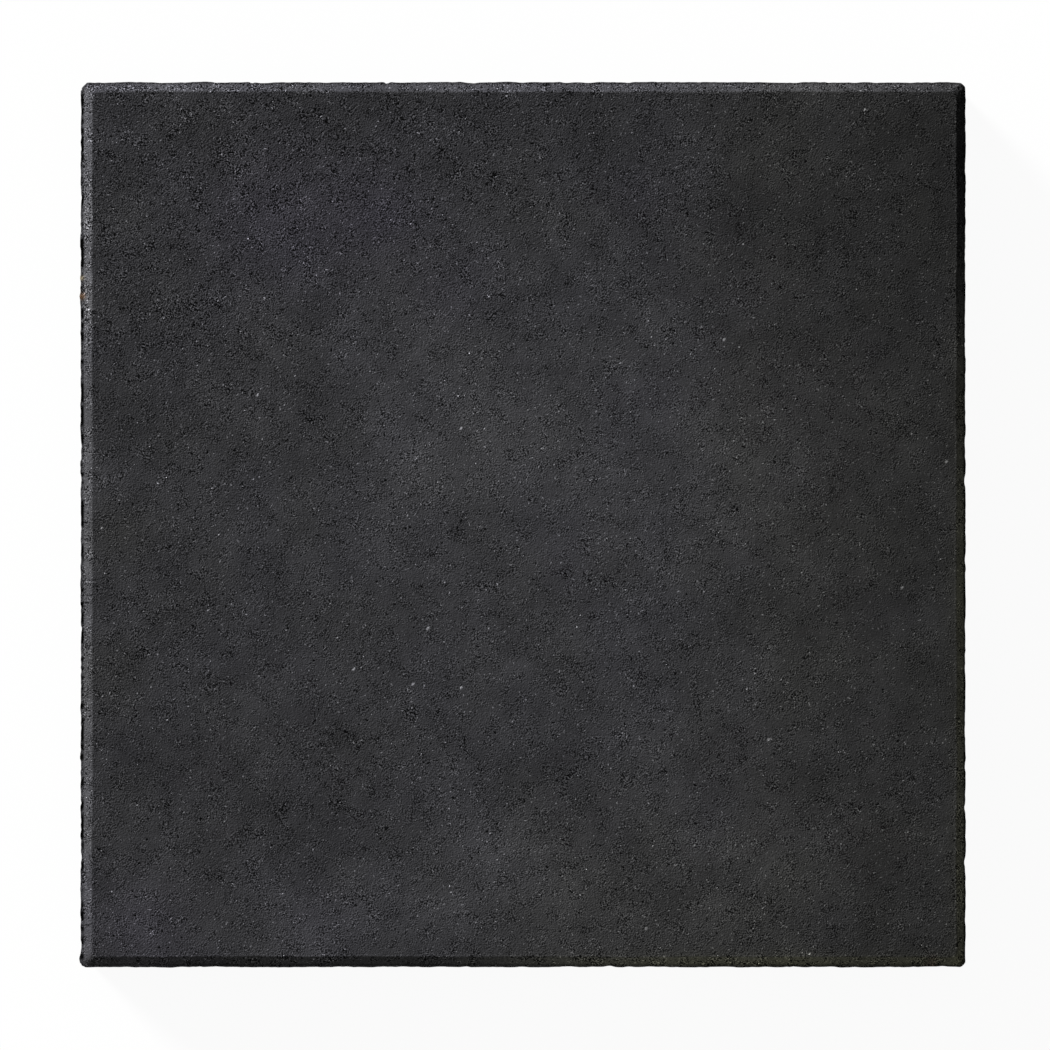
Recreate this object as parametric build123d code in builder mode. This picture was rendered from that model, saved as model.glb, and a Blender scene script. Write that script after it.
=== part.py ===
from build123d import *
from math import atan2, degrees
import os

# A square concrete paving slab, pressed face up in a steel mould. The origin is the
# centre of the bed face, +Z is up through the wearing face, and lengths are millimetres.

# The mould sets the outline and the height of the slab.
slab_length = 400.0
slab_width = 400.0
slab_thickness = 40.0
mould_corner_radius = 2.5

# The press head closes the mould from above. Its sloping rim forms the bevel round the
# wearing face, and the rim is rounded along the mitres where two slopes meet.
bevel_run = 3.5
bevel_depth = 3.5
mitre_radius = 4.0

# The head is a little smaller than the mould, so a narrow lip is left at the bevel's foot.
# It sat off centre towards +X, by a share of that gap, so the lip is widest on the -X side.
head_gap = 0.65
head_shift_share = 0.7

# The outline of the head, the height of the lip and the slope of the bevel follow from these.
head_length = slab_length - 2 * head_gap
head_width = slab_width - 2 * head_gap
head_shift = head_gap * head_shift_share
lip_height = slab_thickness - bevel_depth
bevel_taper = degrees(atan2(bevel_run, bevel_depth))

with BuildPart() as paving_slab:
    # The bevelled top, shaped by the press head from the lip up to the wearing face.
    with BuildSketch(Plane.XY.offset(lip_height)):
        with Locations((head_shift, 0)):
            Rectangle(head_length, head_width)
    extrude(amount=bevel_depth, taper=bevel_taper)
    mitres = paving_slab.edges().group_by(Axis.Z)[1]
    fillet(mitres, radius=mitre_radius)

    # The body below it, with upright sides from the bed face to the lip.
    with BuildSketch(Plane.XY):
        RectangleRounded(slab_length, slab_width, mould_corner_radius)
    extrude(amount=lip_height)

paving_slab.part.label = "paving_slab"
os.makedirs("parts", exist_ok=True)
export_step(paving_slab.part, "parts/paving_slab.step")
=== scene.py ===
# %% [markdown]
# # A pressed concrete paving slab
# The slab is one block of dry concrete, dyed anthracite right through and squeezed in a steel mould.
# The exact solid already has its size, its bevel and its lip, but every edge of it is straight and sharp.
# A material alone would leave those edges as they are, so this lesson lays one new closed skin over the
# solid: a sandy face, a worn bevel, a crumbly lip and dragged sides, all worked out with numpy.

# %% Load the solid
import math

import bpy
import numpy as np
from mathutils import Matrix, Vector


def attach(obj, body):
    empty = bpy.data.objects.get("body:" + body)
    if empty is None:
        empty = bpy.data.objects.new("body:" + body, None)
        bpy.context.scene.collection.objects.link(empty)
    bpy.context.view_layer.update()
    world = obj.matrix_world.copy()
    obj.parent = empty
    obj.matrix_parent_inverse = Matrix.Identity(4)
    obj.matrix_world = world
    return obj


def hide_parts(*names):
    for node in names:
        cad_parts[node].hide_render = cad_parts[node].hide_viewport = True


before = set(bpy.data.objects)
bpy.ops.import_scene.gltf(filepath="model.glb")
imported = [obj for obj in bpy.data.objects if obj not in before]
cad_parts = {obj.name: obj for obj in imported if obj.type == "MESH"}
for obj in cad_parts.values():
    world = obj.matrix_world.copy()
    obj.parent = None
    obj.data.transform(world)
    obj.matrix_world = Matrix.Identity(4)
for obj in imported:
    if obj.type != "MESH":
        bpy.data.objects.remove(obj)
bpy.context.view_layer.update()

# %% [markdown]
# ## Reading the sizes
# The slab lies on its bed face, with the wearing face on top. The heights and the face's outline are
# measured from the corners of the solid, so the skin follows the solid whatever its size is. Only the
# small sizes that no corner gives by itself are named here, in metres.

# %% Measure the solid
MM = 0.001
close = 0.01 * MM


def corners_of(piece):
    """The piece's vertices as an array with one row of x, y, z for each."""
    flat = np.empty(len(piece.data.vertices) * 3, np.float32)
    piece.data.vertices.foreach_get("co", flat)
    return flat.reshape(-1, 3).astype(float)


corners = corners_of(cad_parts["paving_slab"])
slab_low, slab_high = corners.min(0), corners.max(0)
slab_half = (slab_high - slab_low)[:2] / 2
bed, top = slab_low[2], slab_high[2]
on_face = corners[corners[:, 2] > top - close]
face_half = np.ptp(on_face, axis=0)[:2] / 2
face_middle = (on_face.max(0) + on_face.min(0))[:2] / 2
lip = corners[corners[:, 0] < slab_low[0] + close][:, 2].max()

lip_width = 0.65 * MM
mould_corner = 2.5 * MM
bevel_corner = 2.9 * MM
foot_half = slab_half - lip_width
print("face half", face_half, "moved by", face_middle, "lip at", lip)

# %% [markdown]
# ## Places on the photograph
# Some marks sit where the photograph shows them: a chipped corner, a few nicks, pale and dark clouds. They
# are named by the pixel they lie on. The clouds and the scuffs were chosen by hand, but the nicks and the
# bright grains come from measurements that separate scripts made. The slab's outline is a square of pixels
# on the photograph, so one scale and one middle point turn a pixel into a place on the slab.

# %% Turn pixels into places
outline_pixels = 883.9
outline_middle = (523.1, 524.7)
pixel = 2 * slab_half[0] / outline_pixels


def place(across, down):
    """The slab's x and y under a pixel: its distance from the outline's middle, times the pixel's size."""
    return np.array([(across - outline_middle[0]) * pixel, (outline_middle[1] - down) * pixel])


print("one pixel is", round(pixel / MM, 4), "mm on the slab")

# %% [markdown]
# ## Noise
# Concrete never repeats itself, so its relief comes from noise. Blender has noise textures, but a mesh made
# of arrays needs noise as arrays. Value noise is short to write: a hash gives every point of a lattice a
# number, and between the points the numbers are blended along an S-curve. Each use has a seed of its own,
# so no two reliefs are alike, and every run of the lesson gives the same ones.

# %% Noise as arrays
def hashed(ix, iy, iz, seed):
    """A number from 0 to 1 for whole numbers ix, iy, iz: each is multiplied by a large odd number, the
    products are added, and two rounds of shift and multiply mix the bits. The upper ones are kept."""
    with np.errstate(over="ignore"):
        mixed = ix.astype(np.uint64) * np.uint64(0x9E3779B97F4A7C15)
        mixed += iy.astype(np.uint64) * np.uint64(0xC2B2AE3D27D4EB4F)
        mixed += iz.astype(np.uint64) * np.uint64(0x165667B19E3779F9)
        mixed += np.uint64(seed) * np.uint64(0x27D4EB2F165667C5)
        for shift in (29, 32):
            mixed ^= mixed >> np.uint64(shift)
            mixed *= np.uint64(0xBF58476D1CE4E5B9)
    return (mixed >> np.uint64(40)).astype(float) / 2**24


def noise(points, cell, seed):
    """Smooth noise from -1 to 1. Inside each lattice cell the eight corner numbers are blended with weights
    made of t*t*(3 - 2*t) along each axis, where t runs from 0 to 1 across the cell."""
    scaled = points / cell
    base = np.floor(scaled).astype(np.int64)
    t = scaled - base
    t = t * t * (3 - 2 * t)
    total = np.zeros(len(points))
    for corner in np.ndindex(2, 2, 2):
        weight = np.where(corner, t, 1 - t).prod(axis=1)
        total += weight * hashed(*(base + corner).T, seed)
    return 2 * total - 1


test_points = np.random.default_rng(1).uniform(-1, 1, (2000, 3))
test_cell = 0.1
print("noise spreads by", round(noise(test_points, test_cell, 1).std(), 3))

# %% [markdown]
# ## Round pits
# Air that is trapped while the concrete is pressed leaves round holes. They could be cut out with spheres,
# but hundreds of cuts are slow and leave ragged faces. Here a plane is divided into square cells, and the
# hash decides for each cell whether it holds a pit, where the pit lies and how wide it is.

# %% Pits as arrays
def pits(across, along, cell, chance, radius, seed):
    """Depth from 0 to 1 of round pits on a plane. Each square cell holds a pit with the given chance, at a
    random place and with a random radius between two limits. Inside it the depth is 1 - (d / radius)**2,
    times the radius over the largest one. Nine cells round each point are looked at."""
    column, row = np.floor(across / cell), np.floor(along / cell)
    depth = np.zeros(len(across))
    for step_x, step_y in np.ndindex(3, 3):
        cx = (column + step_x - 1).astype(np.int64)
        cy = (row + step_y - 1).astype(np.int64)
        drawn = [hashed(cx, cy, np.full_like(cx, k), seed) for k in range(4)]
        size = radius[0] + (radius[1] - radius[0]) * drawn[2] ** 2
        gap = np.hypot(across - (cx + drawn[0]) * cell, along - (cy + drawn[1]) * cell)
        bowl = np.clip(1 - (gap / size) ** 2, 0, 1) * size / radius[1]
        depth = np.maximum(depth, bowl * (drawn[3] < chance))
    return depth


test_radius = (0.2 * test_cell, 0.4 * test_cell)
in_pits = pits(test_points[:, 0], test_points[:, 1], test_cell, 0.5, test_radius, 1) > 0
print("test pits cover", round(in_pits.mean(), 2), "of their plane")

# %% [markdown]
# ## The outline
# Seen from above, every level of the slab is a square with round corners. A bevelled box would give that
# shape, but the levels are to be joined later, so each of them needs points in the same order. A walk round
# a plain square is bent onto the rounded outline. The direction that each point faces is kept too, because
# crumbs are pushed along it.

# %% Walk round the outline
def square_walk(cells):
    """Points round the edge of the square from -1 to 1, anticlockwise from its lower left corner: the same
    even run of steps on each side, turned by a quarter each time."""
    step = np.linspace(-1, 1, cells, endpoint=False)
    one = np.ones(cells)
    return np.concatenate([step, one, -step, -one]), np.concatenate([-one, step, one, -step])


def rounded(a, b, half, radius, middle):
    """Takes edge points (a, b) of the square from -1 to 1 to a rectangle with round corners. A point is held
    back to the rectangle that is smaller by the radius, and from there it goes out by the radius, at an
    angle that turns evenly from one side to the next. Returns the points and the directions they went in."""
    x, y = a * half[0], b * half[1]
    kept_x = np.clip(x, radius - half[0], half[0] - radius)
    kept_y = np.clip(y, radius - half[1], half[1] - radius)
    out_x, out_y = (x - kept_x) / radius, (y - kept_y) / radius
    angle = math.pi / 4 * (1 + np.abs(out_y) - np.abs(out_x))
    way = np.stack([np.cos(angle) * np.sign(out_x), np.sin(angle) * np.sign(out_y)], 1)
    return np.stack([kept_x, kept_y], 1) + radius[:, None] * way + middle, way


print("a walk with 4 steps to a side has", len(square_walk(4)[0]), "points")

# %% [markdown]
# ## The profile
# Seen in section, the skin runs along the face, over the arris, down the bevel, across the lip, down the
# side and under the bed. How far along that line a point lies is called its reach. A few stations give the
# section, and between them it is straight. A Bevel modifier could round its corners. Averaging the section
# over a short reach does the same in one line, and it wears all corners alike, as sand and handling do.

# %% Run down the profile
margin = 1.6 * MM
edge_round = 0.25 * MM
bevel_slope = np.hypot(foot_half[0] - face_half[0], top - lip)
arris_reach = margin
foot_reach = arris_reach + bevel_slope
edge_reach = foot_reach + lip_width
toe_reach = edge_reach + lip - bed
end_reach = toe_reach + 2 * margin
stations = np.array([0, arris_reach, foot_reach, edge_reach, toe_reach, end_reach])
inner_half, under_half = face_half - margin, slab_half - 2 * margin
station_half = np.array([inner_half, face_half, foot_half, slab_half, slab_half, under_half])
station_corner = np.array([bevel_corner] * 3 + [mould_corner] * 2 + [bevel_corner])
station_height = np.array([top, top, lip, lip, bed, bed])
station_shift = np.array([1, 1, 1, 0, 0, 0])


def along_profile(reach, values):
    """A station value at any reach: straight lines between the stations, averaged over three points a short
    way apart, which rounds the profile's corners."""
    near = np.clip(reach[:, None] + edge_round * np.array([-1, 0, 1]), 0, stations[-1])
    return np.interp(near, stations, values) @ np.array([0.25, 0.5, 0.25])


print("profile runs", round(stations[-1] / MM, 2), "mm from the face to the bed")

# %% [markdown]
# ## The profile round the outline
# The edge of the slab is that profile carried round the outline, as a moulding is carried round a frame. A
# curve with a bevel object could do it, but then every ring would be the same shape. Here the size, corner,
# height and middle of a ring come from the profile at its reach, so the bevel can sit off centre on the lip.

# %% Make a ring
def ring(cells, reach):
    """One closed ring round the slab: the rounded outline of that reach, at the profile's height there.
    Returns its points, the directions they face and their reaches."""
    a, b = square_walk(cells)
    reach = np.full(len(a), reach)
    half = [along_profile(reach, station_half[:, axis]) for axis in (0, 1)]
    middle = along_profile(reach, station_shift)[:, None] * face_middle
    flat, way = rounded(a, b, half, along_profile(reach, station_corner), middle)
    return np.column_stack([flat, along_profile(reach, station_height)]), way, reach


print("the lip's ring is", np.ptp(ring(4, edge_reach)[0], axis=0)[:2].round(4), "m wide")

# %% [markdown]
# ## The grid of points
# The face is a plain grid, because it is judged up close all over. Rings carry on from its rim. The bevel
# and the lip need twice as many points round the outline as the face does, since their crumbs are small, so
# a ring of triangles joins one coarse point to two fine ones. The sides and the bed get by with fewer again.

# %% Points of the face, the edges and the bed
face_cells = 232
bed_cells = face_cells // 4
fine_reaches = MM * np.array([0.8, 1.3, 1.65, 2.1, 3.0, 4.1, 5.2, 6.1, 6.55, 6.9, 7.25, 7.7, 8.6])
side_start, side_steps = 10.6 * MM, 13
side_reaches = np.linspace(side_start, toe_reach, side_steps)
rim_soft = 7 * MM
tiny = 1e-9


def grid(cells, half, radius, height, middle):
    """A square grid whose rim has round corners. Each point lies on a square of its own size round the
    middle, and that square's corners are rounded by a radius that grows from 0 to full near the rim."""
    line = np.linspace(-1, 1, cells + 1)
    gx, gy = (g.ravel() for g in np.meshgrid(line, line))
    size = np.maximum(np.abs(gx), np.abs(gy))
    safe = np.maximum(size, tiny)
    grown = np.clip(1 - (1 - size) * half[0] / rim_soft, 0, 1)
    bend = np.maximum(radius * grown, tiny)
    flat, _ = rounded(gx / safe, gy / safe, [h * safe for h in half], bend, middle)
    return np.column_stack([flat, np.full(len(flat), height)])


face_points = grid(face_cells, inner_half, bevel_corner, top, face_middle)
bed_points = grid(bed_cells, slab_half - 3 * margin, bevel_corner, bed, np.zeros(2))
fine_rings = [ring(2 * face_cells, reach) for reach in fine_reaches]
side_rings = [ring(face_cells, reach) for reach in side_reaches]
under_rings = [ring(face_cells, toe_reach + margin), ring(face_cells // 2, end_reach)]
rings = fine_rings + side_rings + under_rings
print(len(face_points), "points on the face,", len(bed_points), "on the bed and", len(rings), "rings")

# %% [markdown]
# ## One list of points
# Everything that follows works on all points at once, so the grids and the rings become three long arrays:
# places, directions and reaches. A loop over the vertices would do the same hundreds of times more slowly.
# The points of the face and the bed face no side, and the bed's reach is past the end of the profile.

# %% Put all points together
past_the_end = 1.0
ring_points = np.concatenate([r[0] for r in rings])
points = np.concatenate([face_points, ring_points, bed_points])
face_still, bed_still = np.zeros((len(face_points), 2)), np.zeros((len(bed_points), 2))
ways = np.concatenate([face_still] + [r[1] for r in rings] + [bed_still])
face_reaches, bed_reaches = np.zeros(len(face_points)), np.full(len(bed_points), past_the_end)
reaches = np.concatenate([face_reaches] + [r[2] for r in rings] + [bed_reaches])
print(len(points), "points in all")

# %% [markdown]
# ## Zones
# What a point of the skin looks like depends on its reach: face, bevel, lip or side. Vertex groups could say
# so, but a number worked out from the reach follows the solid's size by itself. A zone is a number from 0 to
# 1 that crosses over along a short slope, so one surface fades into the next. In the same way the four
# columns of sides say how much a point faces the right, the top, the left or the bottom of the picture, and
# the corner zone is 1 where it faces halfway between two of them.

# %% Zones along the profile
far = 10.0
bevel_fade, lip_fade, side_fade, rim_fade, bed_fade = 0.7 * MM, 0.5 * MM, 1.0 * MM, 0.9 * MM, 0.5 * MM
above_lip, below_lip, rim_start = 0.3 * MM, 0.4 * MM, 0.2 * MM
arris_width = 3 * MM


def zone(start, end, fade):
    """1 where the reach lies between start and end, 0 elsewhere, with a straight crossing of that fade."""
    return np.clip(np.minimum(reaches - start, end - reaches) / fade + 0.5, 0, 1)


bevel_zone = zone(arris_reach, foot_reach, bevel_fade)
lip_zone = zone(foot_reach - above_lip, edge_reach + below_lip, lip_fade)
side_zone = zone(edge_reach, far, side_fade)
rim_zone = zone(foot_reach + rim_start, far, rim_fade)
arris_zone = np.clip(1 - np.abs(reaches - arris_reach) / arris_width, 0, 1)
bed_zone = zone(toe_reach, far, bed_fade)
sides = np.column_stack([ways, -ways]).clip(0, None) ** 2
corner_zone = 4 * (ways[:, 0] * ways[:, 1]) ** 2
print("points on the bevel", (bevel_zone > 0.5).sum(), "and on the sides", (side_zone > 0.5).sum())

# %% [markdown]
# ## Crumbly edges
# The mould lets dry concrete crumble at the rim, so the outline wanders by tenths of a millimetre. A
# Displace modifier would move the face as well, so the push is worked out here and kept to the edges. Three
# sizes of noise push each point in or out along the direction its ring faces, by so many millimetres. The
# noise is stretched upright, because the slab slides out of the mould and the walls drag the crumbs along.
# The two corners on the right are worn rounder, and the arris is worn most on the left and at the bottom.

# %% Push the edges about
dragged = np.array([1, 1, 4])
ragged = sides @ np.array([1.0, 0.9, 1.35, 0.9])
outward, corner_wear = 0.22, 0.33
wander, wander_size = 0.21, 9 * MM
crumb, crumb_size = 0.18, 3.2 * MM
fleck, fleck_size = 0.16, 1.7 * MM
push = outward + wander * noise(points, wander_size * dragged, 11)
push += ragged * crumb * noise(points, crumb_size * dragged, 12)
push += ragged * fleck * noise(points, fleck_size * dragged, 13)
push -= corner_wear * corner_zone * (ways[:, 0] > 0)
push *= rim_zone

arris_wear = sides @ np.array([0.35, 0.05, 0.55, 0.55])
arris_wander, arris_wander_size = 0.24, 15 * MM
arris_crumb, arris_crumb_size = 0.16, 3.6 * MM
bevel_crumb, bevel_crumb_size = 0.06, 2.6 * MM
push -= arris_zone * arris_wear
push += arris_zone * arris_wander * noise(points, arris_wander_size, 14)
push += arris_zone * arris_crumb * noise(points, arris_crumb_size, 15)
push += bevel_zone * bevel_crumb * noise(points, bevel_crumb_size, 16)
print("crumbs move the edges from", round(push.min(), 2), "to", round(push.max(), 2), "mm")

# %% [markdown]
# ## Bites and lumps
# Here and there a larger crumb is missing from the outline, or stands out from it. These could be sculpted.
# Instead each is a bell-shaped dent in plan that dies away down the side, at the place where the photograph
# shows it. A mark has the pixel it lies on, its bite and its width in pixels, and a negative bite is a lump.
# A separate script measured them on the outline, and they were then chosen, rounded and partly changed by
# hand.

# %% Bite the outline
drop = np.clip(lip - points[:, 2], 0, None)


def bell(across, down, radius, reach_down):
    """A soft round patch: exp(-(d / radius)**2 - drop / reach_down), where d is the distance in plan from a
    pixel's place, the radius is in pixels, and drop is how far below the lip the point lies."""
    gap = np.hypot(*(points[:, :2] - place(across, down)).T)
    return np.exp(-((gap / (radius * pixel)) ** 2) - drop / reach_down)


left_edge, right_edge, upper_edge, lower_edge = 81, 965, 83, 967
edge_marks = (
    (left_edge, 629, 1.0, 3), (left_edge, 758, -0.9, 4), (left_edge, 803, 0.8, 3),
    (left_edge, 458, 0.8, 3), (left_edge, 278, -0.8, 2.5), (left_edge, 296, -0.9, 4),
    (left_edge, 946, 1.1, 6), (left_edge, 959, -0.9, 4), (right_edge, 481, 1.3, 5),
    (right_edge, 766, 1.2, 7), (right_edge, 862, 1.0, 5), (right_edge, 808, 1.0, 3),
    (right_edge, 650, -0.8, 4), (387, upper_edge, 2.6, 2.6), (252, upper_edge, 1.3, 2.6),
    (828, upper_edge, 0.9, 3), (472, upper_edge, 0.8, 9), (610, lower_edge, 1.0, 6),
    (833, lower_edge, 0.9, 8), (943, lower_edge, 0.8, 8),
)
mark_drop = 7 * MM
dent_share = 0.7
for across, down, bite, width in edge_marks:
    push -= bite * pixel / MM * bell(across, down, dent_share * width, mark_drop) * rim_zone
print("edges move from", round(push.min(), 2), "to", round(push.max(), 2), "mm")

# %% [markdown]
# ## Hollows and dimples
# Pressed concrete is flat to about a fifth of a millimetre, in slow waves with finer lumps on them, and
# larger air holes make dimples in it. Bump alone would do for the lumps, but not for the waves, which show
# at a low angle. The bed only rises, so the slab still lies on its lowest points.

# %% Raise and lower the face
past_arris, face_fade = 2 * MM, 3 * MM
face_zone = 1 - zone(arris_reach + past_arris, far, face_fade)
wave, wave_size = 0.10, 55 * MM
swell, swell_size = 0.05, 14 * MM
lump, lump_size = 0.05, 5 * MM
rise = face_zone * (wave * noise(points, wave_size, 21) - wave)
rise += face_zone * swell * noise(points, swell_size, 22)
rise += face_zone * lump * noise(points, lump_size, 23)
dimple_depth, dimple_radius = 0.22, (1.2 * MM, 2.8 * MM)
dimple_cell, dimple_chance = 11 * MM, 0.35
dimples = pits(points[:, 0], points[:, 1], dimple_cell, dimple_chance, dimple_radius, 24)
rise -= face_zone * dimple_depth * dimples

bed_lift = 0.35
bed_wave, bed_wave_size = 0.2, 30 * MM
bed_lump, bed_lump_size = 0.15, 8 * MM
lip_crumb, lip_crumb_size, lip_wear = 0.22, 1.5 * MM, 0.1
bed_relief = bed_lift + bed_wave * noise(points, bed_wave_size, 25)
bed_relief += bed_lump * noise(points, bed_lump_size, 26)
rise += bed_zone * bed_relief
rise += lip_zone * (lip_crumb * noise(points, lip_crumb_size, 27) - lip_wear)
print("points sink by up to", round(-rise.min(), 2), "mm")

# %% [markdown]
# ## Pitted sides
# The sides are pitted more than the face, since no press head smooths them. The pits lie on a plane, so each
# side is rolled out: one axis of that plane runs along the slab's edge and the other runs upwards. After
# that every point moves by its push and its rise, and the relief is done.

# %% Pit the sides and move the points
pit_depth, pit_radius = 0.5, (1.5 * MM, 3.6 * MM)
pit_cell, pit_chance = 8 * MM, 0.4
along_edge = points[:, 0] * np.abs(ways[:, 1]) + points[:, 1] * np.abs(ways[:, 0])
side_pits = pits(along_edge, points[:, 2], pit_cell, pit_chance, pit_radius, 28)
push -= side_zone * (1 - bed_zone) * pit_depth * side_pits

skin = points.copy()
skin[:, :2] += ways * (push * MM)[:, None]
skin[:, 2] += rise * MM
print("points in a side's pit", ((side_pits > 0) & (side_zone > 0.5)).sum())

# %% [markdown]
# ## The broken corner
# One corner of the slab has chipped off, at the upper left. A break in concrete is a rough plane, steep
# because the knock came from above. A Boolean could cut it, but it would leave faces of all sizes. Here the
# plane is a value that is 1 at the corner of the lip and falls to 0 at a certain distance along each edge
# and down the side. Every point with a value above 0 moves in to where it is 0.

# %% Break the corner off
chip_across, chip_along, chip_down = 3.3 * MM, 4.1 * MM, 15 * MM
chip_rough, chip_crumb = 0.22, 1.3 * MM


def break_corner(spots):
    """Value of the plane: 1 - across / a - along / b - down / c, plus small crumbs of noise. A point moves
    along the level direction in which that value falls fastest, by the value over its slope. Returns the
    points and which of them moved."""
    fall = np.array([1 / chip_across, -1 / chip_along])
    value = 1 - (spots[:, 0] - slab_low[0]) / chip_across - (slab_high[1] - spots[:, 1]) / chip_along
    value -= (lip - spots[:, 2]) / chip_down
    value += chip_rough * noise(spots, chip_crumb, 31)
    value = np.clip(value, 0, None)
    moved = spots.copy()
    moved[:, :2] += value[:, None] * fall / (fall @ fall)
    return moved, value > 0


skin, broken = break_corner(skin)
print("points on the break", broken.sum())

# %% [markdown]
# ## Faces between the points
# The grids become squares and the rings become strips. Blender can bridge two loops by itself, but between
# rings of unlike counts its triangles are uneven. So where a ring has twice the points of its neighbour,
# three triangles fill each step. All faces are listed anticlockwise as seen from outside, so they point
# outwards.

# %% Helpers for the faces
def grid_faces(cells, start):
    """Squares of a grid: each lower left corner with the three corners right of it and above it."""
    corner = start + (np.arange(cells)[:, None] * (cells + 1) + np.arange(cells)).ravel()
    return np.stack([corner, corner + 1, corner + cells + 2, corner + cells + 1], 1)


def grid_rim(cells, start):
    """The numbers of a grid's rim points, in the order of square_walk."""
    run = np.arange(cells)
    wide = cells + 1
    runs = [run, cells + run * wide, cells * wide + cells - run, (cells - run) * wide]
    return start + np.concatenate(runs)


def strip(upper, lower):
    """Squares between two rings with the same number of points."""
    return np.stack([upper, lower, np.roll(lower, -1), np.roll(upper, -1)], 1)


def widening(few, many):
    """Triangles from a ring to a lower one with twice its points: two at the corners of each step and one
    between them."""
    next_few, odd, even = np.roll(few, -1), many[1::2], many[0::2]
    sets = [(few, even, odd), (few, odd, next_few), (next_few, odd, np.roll(even, -1))]
    return np.concatenate([np.stack(s, 1) for s in sets])


def narrowing(many, few):
    """Triangles from a ring to a lower one with half its points, the same three for each step."""
    next_few, odd, even = np.roll(few, -1), many[1::2], many[0::2]
    sets = [(even, few, odd), (odd, few, next_few), (odd, next_few, np.roll(even, -1))]
    return np.concatenate([np.stack(s, 1) for s in sets])


print("a grid of 2 by 2 cells has", len(grid_faces(2, 0)), "squares and", len(grid_rim(2, 0)), "rim points")

# %% [markdown]
# ## Joining the skin
# The face's grid is joined to the first ring, each ring to the next, and the last ring to the bed's grid, so
# every edge has two faces and the skin is closed. Merging doubles afterwards isn't needed, because
# neighbours share their points from the start. The faces are kept in three groups, upper, side and under,
# which become the three charts of the texture map.

# %% Join the points up
starts = len(face_points) + np.cumsum([0] + [len(r[0]) for r in rings])
ring_ids = [np.arange(a, b) for a, b in zip(starts[:-1], starts[1:])]
face_rim = grid_rim(face_cells, 0)
bed_rim = grid_rim(bed_cells, starts[-1])
edge_ring = int(np.searchsorted(fine_reaches, edge_reach))
side_ring = len(fine_rings)
toe_ring = side_ring + len(side_rings) - 1
UPPER, SIDE, UNDER = range(3)


def strips(first, last):
    """The strips between neighbours among the rings from the first to the last."""
    return [strip(ring_ids[k], ring_ids[k + 1]) for k in range(first, last)]


upper_faces = [grid_faces(face_cells, 0), widening(face_rim, ring_ids[0])] + strips(0, edge_ring)
side_faces = strips(edge_ring, side_ring - 1)
side_faces += [narrowing(ring_ids[side_ring - 1], ring_ids[side_ring])] + strips(side_ring, toe_ring)
under_faces = [strip(ring_ids[toe_ring], ring_ids[-2]), narrowing(ring_ids[-2], ring_ids[-1])]
under_faces += [narrowing(ring_ids[-1], bed_rim), grid_faces(bed_cells, starts[-1])[:, ::-1]]
chart_sets = (upper_faces, side_faces, under_faces)
faces = [face for group in chart_sets for block in group for face in block.tolist()]
charts = np.repeat((UPPER, SIDE, UNDER), [sum(len(block) for block in group) for group in chart_sets])
print(len(faces), "faces,", sum(len(face) - 2 for face in faces), "triangles")

# %% [markdown]
# ## The object
# The arrays go into one mesh, since the real slab is one piece. The object stays at the origin, unturned and
# unscaled, because its points are already where they belong. It rides on the slab's only body and stands
# for the solid, which is hidden. The concrete material is given to it further on.

# %% Make the slab's skin
mesh = bpy.data.meshes.new("slab_skin")
mesh.from_pydata(skin.tolist(), [], faces)
mesh.polygons.foreach_set("use_smooth", np.ones(len(faces), bool))
slab_skin = bpy.data.objects.new("slab_skin", mesh)
bpy.context.collection.objects.link(slab_skin)
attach(slab_skin, "root")
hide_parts("paving_slab")
print("skin has", len(mesh.vertices), "vertices, valid:", not mesh.validate())

# %% [markdown]
# ## A map for the skin
# A texture map lets other programs show the slab's colours. Blender can unwrap a mesh by itself, but its
# seams would cross the face. The view from above matters most, so the face, bevel and lip get one large
# square of the map, laid down flat. The four sides are narrow columns beside it, and the bed lies in two
# halves along the top.

# %% Find each corner's chart and side
sizes = np.array([len(face) for face in faces])
loop_points = np.concatenate([np.array(face) for face in faces])
first_loops = np.cumsum(sizes) - sizes
face_mids = np.add.reduceat(skin[loop_points], first_loops) / sizes[:, None]
on_x_side = np.abs(face_mids[:, 0]) > np.abs(face_mids[:, 1])
x_number = np.where(face_mids[:, 0] > 0, 0, 1)
y_number = np.where(face_mids[:, 1] > 0, 2, 3)
loop_side = np.repeat(np.where(on_x_side, x_number, y_number), sizes)
loop_on_x = np.repeat(on_x_side, sizes)
loop_half = np.repeat(face_mids[:, 1] > 0, sizes)
loop_chart = np.repeat(charts, sizes)[:, None]
print(len(loop_points), "face corners to lay out")

# %% [markdown]
# ## Laying out the charts
# The map is a square from 0 to 1. Each chart is a plain view of the slab, from above, from one side or from
# below, shrunk into its own place with a small gap round it, so that no colour bleeds into another chart.

# %% Lay out the map
square = 0.82
map_gap = 0.004
column_step, column_width = 0.041, 0.037
half_step, half_width, half_height = 0.496, 0.488, 0.16
room = 0.4 * MM
spot = skin[loop_points]
flat = (spot[:, :2] + slab_half + room) / (2 * (slab_half + room))
tall = (spot[:, 2] - bed) / (top - bed)
run = np.where(loop_on_x, flat[:, 1], flat[:, 0])
column = square + 3 * map_gap + loop_side * column_step
bed_column = map_gap + half_step * loop_half + half_width * flat[:, 0]
bed_row = np.where(loop_half, 2 * flat[:, 1] - 1, 2 * flat[:, 1])
bed_map = np.stack([bed_column, square + 3 * map_gap + half_height * bed_row], 1)
side_map = np.stack([column + column_width * tall, map_gap + square * run], 1)
face_map = map_gap + square * flat
uv = np.where(loop_chart == UPPER, face_map, np.where(loop_chart == SIDE, side_map, bed_map))
mesh.uv_layers.new(name="OFBake").uv.foreach_set("vector", uv.ravel().astype(np.float32))
print("map runs from", uv.min(0).round(3), "to", uv.max(0).round(3))
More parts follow.
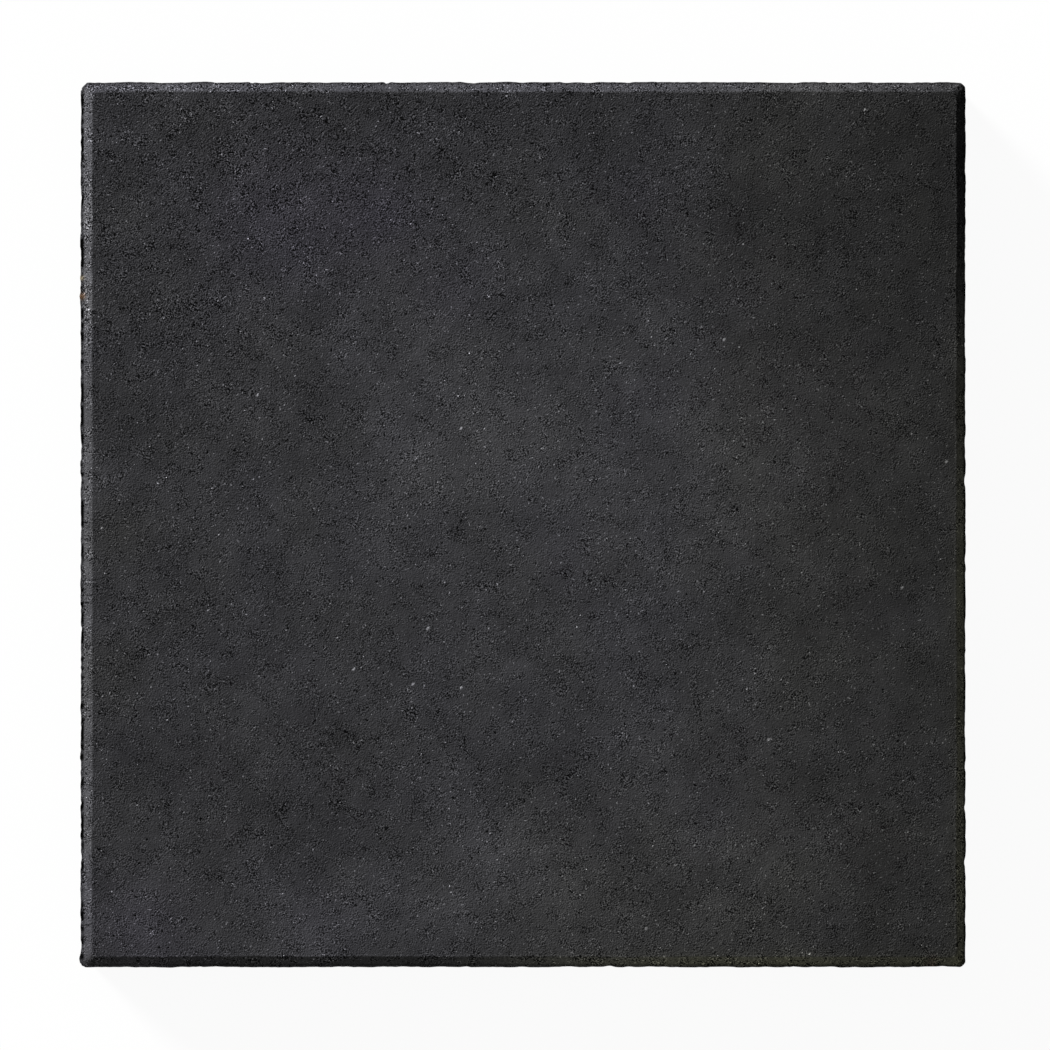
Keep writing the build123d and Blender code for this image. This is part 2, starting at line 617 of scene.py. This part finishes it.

# %% [markdown]
# ## Clouds of tone
# Dye, damp and pressure leave the face cloudy: a paler middle and small blotches. Its right edge is darker,
# partly from the dye and partly as painted shade from a light on the left. The clouds are far larger than a
# grain of sand, so no image is needed, and each point of the mesh can carry them as a number. A cloud is a
# soft bell in plan, with the pixel it lies on, its radius in pixels and its strength. A plus sign makes it
# paler and a minus sign darker. Scuffs are small dark clouds, all of one size.

# %% List the clouds
pale_clouds = (
    (530, 500, 270, 0.17), (450, 420, 95, 0.20), (550, 450, 50, 0.12), (630, 375, 70, 0.08),
    (590, 530, 40, 0.10), (710, 500, 70, 0.13), (270, 215, 75, 0.12), (450, 290, 45, 0.07),
    (370, 350, 40, 0.08), (360, 530, 40, 0.07), (265, 440, 22, 0.13), (112, 488, 24, 0.16),
    (265, 768, 20, 0.14), (200, 705, 18, 0.10), (160, 667, 8, 0.15), (140, 925, 60, 0.24),
    (300, 915, 55, 0.18), (400, 905, 60, 0.24), (490, 865, 60, 0.22), (570, 890, 50, 0.12),
    (650, 840, 50, 0.08), (750, 860, 50, 0.10), (800, 880, 50, 0.20), (660, 720, 60, 0.06),
    (545, 870, 40, 0.10), (350, 905, 40, 0.08), (400, 435, 50, 0.09),
)
dark_clouds = (
    (360, 105, 55, -0.14), (480, 108, 55, -0.18), (610, 108, 60, -0.22), (740, 115, 60, -0.16),
    (750, 220, 60, -0.22), (650, 235, 30, -0.12), (830, 225, 45, -0.15), (730, 325, 35, -0.17),
    (850, 320, 45, -0.12), (945, 190, 85, -0.20), (130, 415, 28, -0.18), (345, 405, 22, -0.18),
    (205, 600, 24, -0.14), (470, 545, 24, -0.14), (525, 560, 22, -0.10), (625, 572, 18, -0.16),
    (520, 640, 28, -0.10), (335, 735, 30, -0.15), (190, 765, 30, -0.09), (565, 755, 32, -0.15),
    (600, 815, 40, -0.10), (730, 635, 35, -0.12), (310, 830, 70, -0.13), (800, 785, 30, -0.12),
    (870, 890, 50, -0.10), (920, 530, 50, -0.07), (430, 955, 40, -0.12), (935, 125, 60, -0.16),
    (935, 280, 70, -0.14), (735, 215, 36, -0.13), (150, 735, 60, -0.10),
)
scuffs = (
    (178, 381), (130, 421), (199, 202), (218, 233), (228, 386), (308, 418), (310, 270), (458, 173),
    (499, 180), (210, 602), (353, 738), (412, 714), (341, 805), (284, 810), (397, 914), (455, 535),
    (565, 573), (646, 617), (667, 560), (703, 402), (736, 508), (571, 773), (774, 785), (753, 923),
    (812, 259), (937, 342), (888, 826), (116, 778), (104, 850), (628, 280),
)
print(len(pale_clouds), "pale clouds,", len(dark_clouds), "dark ones and", len(scuffs), "scuffs")

# %% [markdown]
# ## Mixing the tone
# The clouds are added up to one number for each point, which later becomes a factor of its colour. Two sizes
# of noise mottle what lies between the clouds, and a slow ramp darkens the right of the slab, partly as
# painted shade. The clouds fade down the sides, where nothing is known of them.

# %% Mix the clouds
ACROSS, DOWN = 0, 1
cloud_depth = 12 * MM
scuff_radius, scuff_dark = 5.5, 0.3
broad_mottle, broad_size = 0.12, 16 * MM
fine_mottle, fine_size = 0.13, 7 * MM
right_dark_and_shade, dark_columns = 0.30, (690, 930)


def ramp(start, end, axis):
    """From 0 before one pixel column (axis 0) or row (axis 1) to 1 behind another: t*t*(3 - 2*t), where t
    runs from 0 to 1 between them."""
    begin, finish = place(start, start)[axis], place(end, end)[axis]
    t = np.clip((points[:, axis] - begin) / (finish - begin), 0, 1)
    return t * t * (3 - 2 * t)


def add_clouds(values, clouds):
    """Adds each cloud's bell, times the cloud's strength, to the values of the points."""
    for across, down, radius, strength in clouds:
        values += strength * bell(across, down, radius, cloud_depth)


def scuff_clouds(strength):
    """The scuffs as clouds of one radius and one strength."""
    return [(across, down, scuff_radius, strength) for across, down in scuffs]


level = points - (0, 0, top)
tone = broad_mottle * noise(level, broad_size, 41) + fine_mottle * noise(level, fine_size, 42)
# Partly painted shade: the ramp darkens the right of the face as a light from the left would.
tone -= right_dark_and_shade * ramp(*dark_columns, ACROSS)
add_clouds(tone, pale_clouds + dark_clouds)
add_clouds(tone, scuff_clouds(-scuff_dark))
print("tone runs from", round(tone.min(), 2), "to", round(tone.max(), 2))

# %% [markdown]
# ## Clouds of tint
# The dye is a cold black over most of the face and a neutral one towards the right, with a violet breath
# here and there. A colour for each cloud would be hard to keep so weak, so tints are kept apart from the
# tone: one number says how cold a point is, and a second one how violet.

# %% Mix the tints
cold_clouds = (
    (640, 890, 110, -0.9), (110, 545, 45, -0.7), (110, 680, 40, -0.4), (520, 900, 50, -0.3),
    (725, 805, 40, 0.7),
)
violet_clouds = (
    (280, 215, 72, 1.0), (375, 215, 54, 0.9), (450, 290, 40, 0.5), (640, 195, 35, 0.5),
    (140, 930, 55, 0.9), (320, 920, 50, 0.3),
)
neutral_columns = (640, 800)
cold_mottle, cold_size = 0.3, 20 * MM
cold = 1 - ramp(*neutral_columns, ACROSS) + cold_mottle * noise(level, cold_size, 43)
violet = np.zeros(len(points))
add_clouds(cold, cold_clouds)
add_clouds(violet, violet_clouds)
print("coldness runs from", round(cold.min(), 2), "to", round(cold.max(), 2))

# %% [markdown]
# ## The bevel's tone and painted light
# The press head ironed the bevel, so fine cement covers its sand and most of it is paler than the face. On
# top of that, each side's tone is painted light and shade: at the right it grows from top to bottom, and at
# the bottom from left to right, as a fill light from the lower right would make it, and the top of the right
# bevel is painted darker than the face. The left bevel fades towards the bottom. So the tone is written as a
# factor for each side of the slab, with ramps between pixel rows or columns.

# %% Shade the bevel
face_grey = 0.0320
right_columns, lower_rows = (380, 720), (170, 560)
left_rows, left_end_rows = (280, 440), (850, 930)
right_start, right_growth = 0.3, 1.9
lower_start, lower_growth = 0.95, 2.1
left_start, left_loss, left_end_loss = 2.0, 0.6, 0.25
top_level = 1.44
right_end = ramp(*right_columns, ACROSS)
lower_end = ramp(*lower_rows, DOWN)
# Painted light and shade: beyond the paler cement, these factors and ramps light the right and bottom bevels
# as a fill from the lower right would, and shade the top of the right one.
right_pale_and_painted_light = right_start + right_growth * lower_end
top_pale_and_painted_light = np.full(len(points), top_level)
left_pale_and_painted_light = left_start - left_loss * ramp(*left_rows, DOWN) - left_end_loss * ramp(*left_end_rows, DOWN)
lower_pale_and_painted_light = lower_start + lower_growth * right_end
bevel_pale_and_painted_light = (sides * np.column_stack([right_pale_and_painted_light, top_pale_and_painted_light, left_pale_and_painted_light, lower_pale_and_painted_light])).sum(1)
shade = face_grey * np.exp(tone) * (1 + (bevel_pale_and_painted_light - 1) * bevel_zone)
on_bevel = bevel_pale_and_painted_light[bevel_zone > 0.5]
print("bevel is", on_bevel.min().round(2), "to", on_bevel.max().round(2), "times as pale as the face")

# %% [markdown]
# ## Lip, foot and crest
# The lip crumbled and is darkened, most of all on the right and the left, partly as dirt and partly as
# painted shade between its crumbs, and noise leaves some of its crumbs clean. At the right and the bottom a
# painted shadow darkens the crease where the bevel meets the lip, and a painted highlight makes a pale crest
# where the bevel meets the face. Light and shadow alone leave all three too weak, so they are factors of the
# tone as well.

# %% Shade the lip, the foot and the crest
lip_tone = sides @ np.array([0.0, 1.1, 0.0, 1.35])
corner_share = 0.8
lip_tone = lip_tone * (1 - corner_share * corner_zone)
lip_dark_share, lip_dark_contrast, lip_dark_size = 0.6, 4.0, 2.1 * MM
lip_dirt_and_shade = np.clip(lip_dark_share + lip_dark_contrast * noise(points, lip_dark_size, 44), 0, 1)
above_foot, below_foot, foot_fade = 0.95 * MM, 0.1 * MM, 0.9 * MM
crest_width, crest_fade = 1.0 * MM, 0.5 * MM
foot_zone = zone(foot_reach - above_foot, foot_reach + below_foot, foot_fade)
crest_zone = zone(arris_reach - crest_width, arris_reach, crest_fade)
foot_painted_shade = sides @ np.array([0.65, 0.0, 0.0, 0.5])
crest_painted_highlight = sides @ np.array([0.3, 0.0, 0.0, 0.27])
# Painted shade and dirt on the lip, painted shade in the crease at the bevel's foot, and a painted highlight
# on the crest.
shade *= 1 - (1 - lip_tone) * lip_zone * lip_dirt_and_shade
shade *= (1 - foot_painted_shade * foot_zone) * (1 + crest_painted_highlight * crest_zone)
print("shade runs from", shade.min().round(4), "to", shade.max().round(4))

# %% [markdown]
# ## Tinting the shade
# A cold point gets more blue, and a violet one more blue and a little more red. Towards the lower right the
# edges turn warmer, and the bevel at the top is colder than the others. Small changes of the blue and the
# red are enough, and the green stays as it is.

# %% Tint the shade
RIGHT, TOP, BOTTOM = 0, 1, 3
cold_blue, violet_blue, violet_red, base_red = 0.075, 0.12, 0.035, 1.002
right_warm, lower_warm, warm_width = 0.105, 0.12, 7 * MM
top_bevel_cold, right_bevel_warm = 0.05, 0.15
lower_bevel_warm, lower_bevel_more = 0.07, 0.09
near_right = lower_end * np.exp(-(((slab_high[0] - points[:, 0]) / warm_width) ** 2))
near_lower = right_end * np.exp(-(((points[:, 1] - slab_low[1]) / warm_width) ** 2))
blue = 1 + cold_blue * cold + violet_blue * violet - right_warm * near_right - lower_warm * near_lower
blue += bevel_zone * (top_bevel_cold * sides[:, TOP] - right_bevel_warm * lower_end * sides[:, RIGHT])
blue -= bevel_zone * sides[:, BOTTOM] * (lower_bevel_warm + lower_bevel_more * right_end)
red = base_red + violet_red * violet
wash = shade[:, None] * np.column_stack([red, np.ones(len(points)), blue])
print("blue runs from", blue.min().round(3), "to", blue.max().round(3))

# %% [markdown]
# ## Stains
# Two grains of brown stone stick out of the left edge, and a rusty stain marks the lower one. Separate
# meshes would be three more pieces, and the slab is one, so the colours are mixed into its points. A stain
# has its pixel, its radius in pixels, its strength and its colour.

# %% Stain the edges
stains = (
    (82, 278, 1.8, 0.9, (0.26, 0.22, 0.15)),
    (82, 296, 3.2, 0.9, (0.10, 0.06, 0.035)),
    (932, 963, 6.0, 0.5, (0.05, 0.032, 0.024)),
)
stain_depth = 1.2 * MM
for across, down, radius, strength, stain_colour in stains:
    share = (strength * bell(across, down, radius, stain_depth))[:, None]
    wash = wash * (1 - share) + share * np.array(stain_colour)
print("mean colour of the face", wash[: len(face_points)].mean(0).round(4))

# %% [markdown]
# ## Openness
# Where less cement came up under the press, the surface stays open: its sand is coarser and its pores are
# wider. That is so at the upper left and in the scuffs, while the right of the face is closed. The material
# makes sand and pores by itself, so a point only has to tell it how open the surface is there.

# %% Open the surface
open_clouds = (
    (200, 95, 190, 0.72), (500, 90, 150, 0.42), (750, 95, 130, 0.22), (130, 330, 150, 0.34),
    (110, 640, 120, 0.14), (960, 620, 190, -0.38), (960, 260, 130, -0.22),
)
scuff_open = 2.6
open_mottle, small_patch, large_patch = 0.25, 4.5 * MM, 14 * MM
bevel_open = sides @ np.array([1.3, 0.4, 0.4, 0.9])
side_open = 0.3
openness = np.ones(len(points))
add_clouds(openness, open_clouds)
add_clouds(openness, scuff_clouds(scuff_open))
small_patches, large_patches = noise(points, small_patch, 51), noise(points, large_patch, 52)
openness *= np.exp(open_mottle * small_patches + open_mottle * large_patches)
openness *= 1 + bevel_zone * bevel_open + side_open * side_zone
print("openness runs from", openness.min().round(2), "to", openness.max().round(2))

# %% [markdown]
# ## Placed grains
# A few bright grains catch the eye, so they sit where the photograph shows them. All of their places but the
# last are a separate script's list of the brightest spots on the photograph. A grain is narrower than
# the step from one point of the mesh to the next. So the nearest point gets a 1 and all others a 0, and the
# material makes the grain from the top of the peak that this gives.

# %% Pick the pale grains
pale_grains = (
    (946, 462), (462, 687), (846, 956), (258, 394), (104, 530), (461, 429), (413, 683), (769, 741),
    (810, 954), (427, 630), (725, 341), (645, 927), (717, 956), (902, 588), (777, 955), (866, 110),
    (355, 668),
)
speck = np.zeros(len(points))
for across, down in pale_grains:
    nearest = np.argmin(np.hypot(*(points[:, :2] - place(across, down)).T) + drop)
    speck[nearest] = 1
print(int(speck.sum()), "pale grains placed")

# %% [markdown]
# ## Handing the numbers over
# A material reads a mesh's numbers by the name of an attribute. One colour and two plain numbers for each
# point are enough here. They blend between the points by themselves, and they move with the mesh.

# %% Write the attributes
rgba = np.column_stack([wash, np.ones(len(wash))])
mesh.attributes.new("wash", "FLOAT_COLOR", "POINT")
mesh.attributes["wash"].data.foreach_set("color", rgba.ravel().astype(np.float32))
for name, values in (("openness", openness), ("speck", speck)):
    mesh.attributes.new(name, "FLOAT", "POINT")
    mesh.attributes[name].data.foreach_set("value", values.astype(np.float32))
print(len(rgba), "points carry a colour, an openness and a speck")

# %% [markdown]
# ## The concrete
# Up close the face is a mass of sand grains, one or two to a millimetre, with dark pores between them and
# a few pale specks of quartz. An image of concrete could be wrapped on, but it would blur up close and show
# seams, while nodes stay sharp on every side. Nodes made one by one take many lines, so a few helpers make
# them first. Each works in the tree that is called tree at the time.

# %% Helpers for the nodes
def empty_tree(owner):
    """The node tree of a material or a world, with the nodes that it starts with taken out."""
    owner.use_nodes = True
    owner.node_tree.nodes.clear()
    return owner.node_tree


def node(kind, inputs=(), **settings):
    """A node with its settings, and with each named input set to a value or linked to a node's output."""
    made = tree.nodes.new(kind)
    for name, value in settings.items():
        setattr(made, name, value)
    for name, value in dict(inputs).items():
        if isinstance(value, bpy.types.NodeSocket):
            tree.links.new(value, made.inputs[name])
        else:
            made.inputs[name].default_value = value
    return made


def combine(operation, first, second):
    """The output of a Math node for two numbers or outputs."""
    return node("ShaderNodeMath", {0: first, 1: second}, operation=operation).outputs[0]


def spread(value, low, high, to_low, to_high):
    """The output of a Map Range node, held between its two ends."""
    limits = {"Value": value, "From Min": low, "From Max": high, "To Min": to_low, "To Max": to_high}
    return node("ShaderNodeMapRange", limits).outputs["Result"]


def lumps(where, size, detail):
    """A Noise Texture whose lumps are about as large as size, with that many finer layers on them."""
    return node("ShaderNodeTexNoise", {"Vector": where, "Scale": 1 / size, "Detail": detail})


concrete = bpy.data.materials.new("concrete")
tree = empty_tree(concrete)
print("material", concrete.name, "started")

# %% [markdown]
# ## Sand and open patches
# Noise sits on a lattice, and a slice along the lattice is weaker than one across it. So the lattice is
# turned, and the face, the sides and the bed all cut it at a slant. Fine noise is the sand. A noise about
# eight times larger says, together with the openness of each point, where the press left the surface open:
# there the sand is rougher and the pores are wider.

# %% Make the sand
lattice_turn = (0.7, 0.5, 0.3)
place_on_slab = node("ShaderNodeTexCoord").outputs["Object"]
where = node("ShaderNodeMapping", {"Vector": place_on_slab, "Rotation": lattice_turn}).outputs["Vector"]
open_share = node("ShaderNodeAttribute", attribute_name="openness").outputs["Fac"]

sand_size, patch_size = 0.64 * MM, 5.0 * MM
closed_patch, open_patch = 0.44, 0.74
least_coarse, most_coarse = 0.45, 2.7
sand = lumps(where, sand_size, 0.0).outputs["Fac"]
patches = lumps(where, patch_size, 1.0).outputs["Fac"]
patch_coarse = spread(patches, closed_patch, open_patch, least_coarse, most_coarse)
coarseness = combine("MULTIPLY", patch_coarse, open_share)
grit = combine("MULTIPLY", spread(sand, 0.0, 1.0, -1.0, 1.0), coarseness)

tight_patch, loose_patch, loosest = 0.42, 0.67, 0.02
least_open, most_open, tightening, loosening = 0.5, 2.3, -0.04, 0.06
patch_loose = spread(patches, tight_patch, loose_patch, 0.0, loosest)
point_loose = spread(open_share, least_open, most_open, tightening, loosening)
loose = combine("ADD", patch_loose, point_loose)
print("concrete has", len(tree.nodes), "nodes with its sand")

# %% [markdown]
# ## Pores and grains
# A pore is a place where a noise falls under a certain value, so pores come out in all sizes and shapes. A
# round cell pattern would look like dots. Going in, the noise falls steadily, so three ranges of it are the
# parts of the pore: a pale rim, partly bare sand and partly a painted highlight, a wall that slopes, and a
# bottom painted nearly black, partly dirt and partly painted shade. Two noises give small pores and a few
# larger holes. The far upper end of a third noise gives the odd pale grain, and the placed grains come from
# the points that were picked for them.

# %% Make the pores and the grains
def hollow(size, edge, rim_out, wall_out, wall_in, bottom_in):
    """Rim, wall and bottom of the places where noise of that size, less the looseness, falls under the edge
    value. Each goes from 0 to 1: the rim from edge + rim_out to edge, the wall from edge + wall_out to
    edge - wall_in, and the bottom from edge to edge - bottom_in."""
    field = combine("SUBTRACT", lumps(where, size, 0.0).outputs["Fac"], loose)
    rim = spread(field, edge + rim_out, edge, 0.0, 1.0)
    wall = spread(field, edge + wall_out, edge - wall_in, 0.0, 1.0)
    bottom = spread(field, edge, edge - bottom_in, 0.0, 1.0)
    return rim, wall, bottom


pore = hollow(size=1.3 * MM, edge=0.231, rim_out=0.045, wall_out=0.04, wall_in=0.04, bottom_in=0.02)
hole = hollow(size=1.6 * MM, edge=0.195, rim_out=0.03, wall_out=0.03, wall_in=0.03, bottom_in=0.02)
pore_rim, pore_wall, pore_bottom = pore
hole_rim, hole_wall, hole_bottom = hole

grain_size, grain_edge, grain_wide = 1.1 * MM, 0.782, 0.03
peak_edge, peak_middle = 0.5, 0.8
grain_noise = lumps(where, grain_size, 0.0).outputs["Color"]
grain_noise = node("ShaderNodeSeparateColor", {"Color": grain_noise}).outputs["Green"]
grains = spread(grain_noise, grain_edge, grain_edge + grain_wide, 0.0, 1.0)
speck_share = node("ShaderNodeAttribute", attribute_name="speck").outputs["Fac"]
placed_grains = spread(speck_share, peak_edge, peak_middle, 0.0, 1.0)
print("concrete has", len(tree.nodes), "nodes with its pores")

# %% [markdown]
# ## Colour
# Each part of the concrete changes the colour of the point by a factor: rims and grains are several times
# paler, the rims partly as a painted highlight, and the bottom of a pore is nearly black, partly as painted
# shade. Mixing in a colour for each part would lose the clouds under it, so all factors are multiplied
# instead.

# %% Colour the concrete
grit_tone, darkest = 0.9, 0.05
# Painted shade: the bottoms of pores and holes, partly dirt; painted highlight: their pale rims, partly bare
# sand.
pore_rim_pale_and_highlight, pore_painted_shade = 4.2, 0.02
hole_rim_pale_and_highlight, hole_painted_shade = 3.5, 0.02
grain_tone, placed_tone = 4.0, 8.0
shades = combine("ADD", combine("MULTIPLY", grit, grit_tone), 1.0)
toned_parts = (
    (pore_rim, pore_rim_pale_and_highlight), (pore_bottom, pore_painted_shade), (hole_rim, hole_rim_pale_and_highlight),
    (hole_bottom, hole_painted_shade), (grains, grain_tone), (placed_grains, placed_tone),
)
for part, part_tone in toned_parts:
    shades = combine("MULTIPLY", shades, spread(part, 0.0, 1.0, 1.0, part_tone))
shades = combine("MAXIMUM", shades, darkest)
wash_colour = node("ShaderNodeAttribute", attribute_name="wash").outputs["Color"]
colour = node("ShaderNodeVectorMath", {0: wash_colour, "Scale": shades}, operation="SCALE").outputs[0]
print("concrete has", len(tree.nodes), "nodes with its colour")

# %% [markdown]
# ## Height and roughness
# Most of these parts are added up to one height, in millimetres, for the bump. So a pore is dark because it
# is deep as well as because its bottom is painted dark, partly dirt and partly painted shade, and its far
# wall catches the light. Real geometry this fine would take millions of faces. Concrete hardly shines, so
# the gloss is low all over, and open patches are rougher.

# %% Raise and roughen the concrete
grit_limit, grit_height = 0.6, 0.30
grain_height, pore_depth, hole_depth = 0.1, 0.5, 0.7
smooth_patch, rough_patch = 0.3, 0.7
least_rough, most_rough = 0.82, 0.97
gloss = 0.03
held_grit = spread(grit, -grit_limit, grit_limit, -grit_limit, grit_limit)
height = combine("MULTIPLY", held_grit, grit_height)
for part, part_height in ((grains, grain_height), (pore_wall, -pore_depth), (hole_wall, -hole_depth)):
    height = combine("ADD", height, combine("MULTIPLY", part, part_height))
normal = node("ShaderNodeBump", {"Height": height, "Distance": MM, "Strength": 1.0}).outputs["Normal"]
roughness = spread(patches, smooth_patch, rough_patch, least_rough, most_rough)
surface = {"Base Color": colour, "Roughness": roughness, "Specular IOR Level": gloss, "Normal": normal}
shader = node("ShaderNodeBsdfPrincipled", surface)
node("ShaderNodeOutputMaterial", {"Surface": shader.outputs["BSDF"]})
mesh.materials.append(concrete)
print("concrete has", len(tree.nodes), "nodes")

# %% [markdown]
# ## Floor
# The slab lies on a plain white floor. A white that is only lit would come out grey or shaded. So to the
# camera the floor is mostly its own white light, as white as the background of a product picture, and a
# small share of true white paint keeps the slab's soft shadow on it.

# %% Make the floor
white = (1, 1, 1, 1)
paint_white = (0.75, 0.75, 0.75, 1)
floor_half, floor_gap = 6.0, 0.2 * MM
floor_level = bed - floor_gap
glow_share, glow_strength = 0.92, 1.02
corner_signs = ((-1, -1), (1, -1), (1, 1), (-1, 1))
floor_points = [(a * floor_half, b * floor_half, floor_level) for a, b in corner_signs]
floor_mesh = bpy.data.meshes.new("floor")
floor_mesh.from_pydata(floor_points, [], [(0, 1, 2, 3)])
floor = bpy.data.objects.new("floor", floor_mesh)
bpy.context.collection.objects.link(floor)


def seen_directly():
    """1 for rays from the camera and for rays mirrored or passed on to it, 0 for rays that light things."""
    path = node("ShaderNodeLightPath")
    mirrored = combine("MAXIMUM", path.outputs["Is Glossy Ray"], path.outputs["Is Transmission Ray"])
    return combine("MAXIMUM", path.outputs["Is Camera Ray"], mirrored)


floor_white = bpy.data.materials.new("floor_white")
tree = empty_tree(floor_white)
paint = node("ShaderNodeBsdfDiffuse", {"Color": paint_white})
glow = node("ShaderNodeEmission", {"Color": white, "Strength": glow_strength})
glowing = combine("MULTIPLY", seen_directly(), glow_share)
mixed = node("ShaderNodeMixShader", {0: glowing, 1: paint.outputs[0], 2: glow.outputs[0]})
node("ShaderNodeOutputMaterial", {"Surface": mixed.outputs[0]})
floor_mesh.materials.append(floor_white)
print("floor at", floor_level)

# %% [markdown]
# ## Surroundings
# Out of doors the sky lights every side of the slab a little. A picture of a sky would add colours of its
# own, so the world is an even grey to everything it lights, and white only to the camera.

# %% Make the world
sky_level = 0.36
world = bpy.data.worlds.new("studio")
bpy.context.scene.world = world
tree = empty_tree(world)
even = node("ShaderNodeBackground", {"Color": white, "Strength": sky_level})
bright = node("ShaderNodeBackground", {"Color": white, "Strength": 1.0})
mixed = node("ShaderNodeMixShader", {0: seen_directly(), 1: even.outputs[0], 2: bright.outputs[0]})
node("ShaderNodeOutputWorld", {"Surface": mixed.outputs[0]})
print("sky strength", sky_level)

# %% [markdown]
# ## Light
# The left and upper bevels are bright and the other two are dark, and pores are dark on their upper left
# wall. So the light comes from the upper left, 14 degrees above the floor, and light this low makes the
# sand stand out. One wide sun does it, where an area lamp would light one side of the slab more than the
# other. Its strength and the sky's together give a level surface as much light as makes a colour look
# about as it was written.

# %% Set the light
light_side, light_rise = (-1.0, 1.0), 0.3526
sun_width = math.radians(14)
to_light = Vector((*light_side, light_rise)).normalized()
sun_data = bpy.data.lights.new("window_light", "SUN")
sun_data.angle = sun_width
sun_data.energy = math.pi * (1 - sky_level) / to_light.z
sun = bpy.data.objects.new("window_light", sun_data)
sun.rotation_euler = to_light.to_track_quat("Z", "Y").to_euler()
bpy.context.collection.objects.link(sun)
print("light stands at", round(math.degrees(math.asin(to_light.z)), 1), "degrees")

# %% [markdown]
# ## Camera
# The picture was taken from straight above, so the outline is square and no side shows. A camera without
# perspective would do, but a long lens from some three metres is nearer to a real one. The frame is a
# little wider than the slab, and the slab sits slightly left of its middle.

# %% Set the camera
picture_pixels = 1050
camera_data = bpy.data.cameras.new("camera")
camera_data.sensor_width = 36
camera_data.lens = 250
frame_width = picture_pixels * pixel
rise_to_camera = frame_width * camera_data.lens / camera_data.sensor_width
camera = bpy.data.objects.new("camera", camera_data)
camera.location = (*place(picture_pixels / 2, picture_pixels / 2), lip + rise_to_camera)
bpy.context.collection.objects.link(camera)
bpy.context.scene.camera = camera
bpy.context.scene.view_settings.view_transform = "Standard"
print("camera is", round(rise_to_camera, 3), "m above the lip")

# %% [markdown]
# ## Finish
# The skin keeps to the size of the solid it stands for, give or take its crumbs. At the end the scene is
# brought up to date.

# %% Finish
bpy.context.view_layer.update()
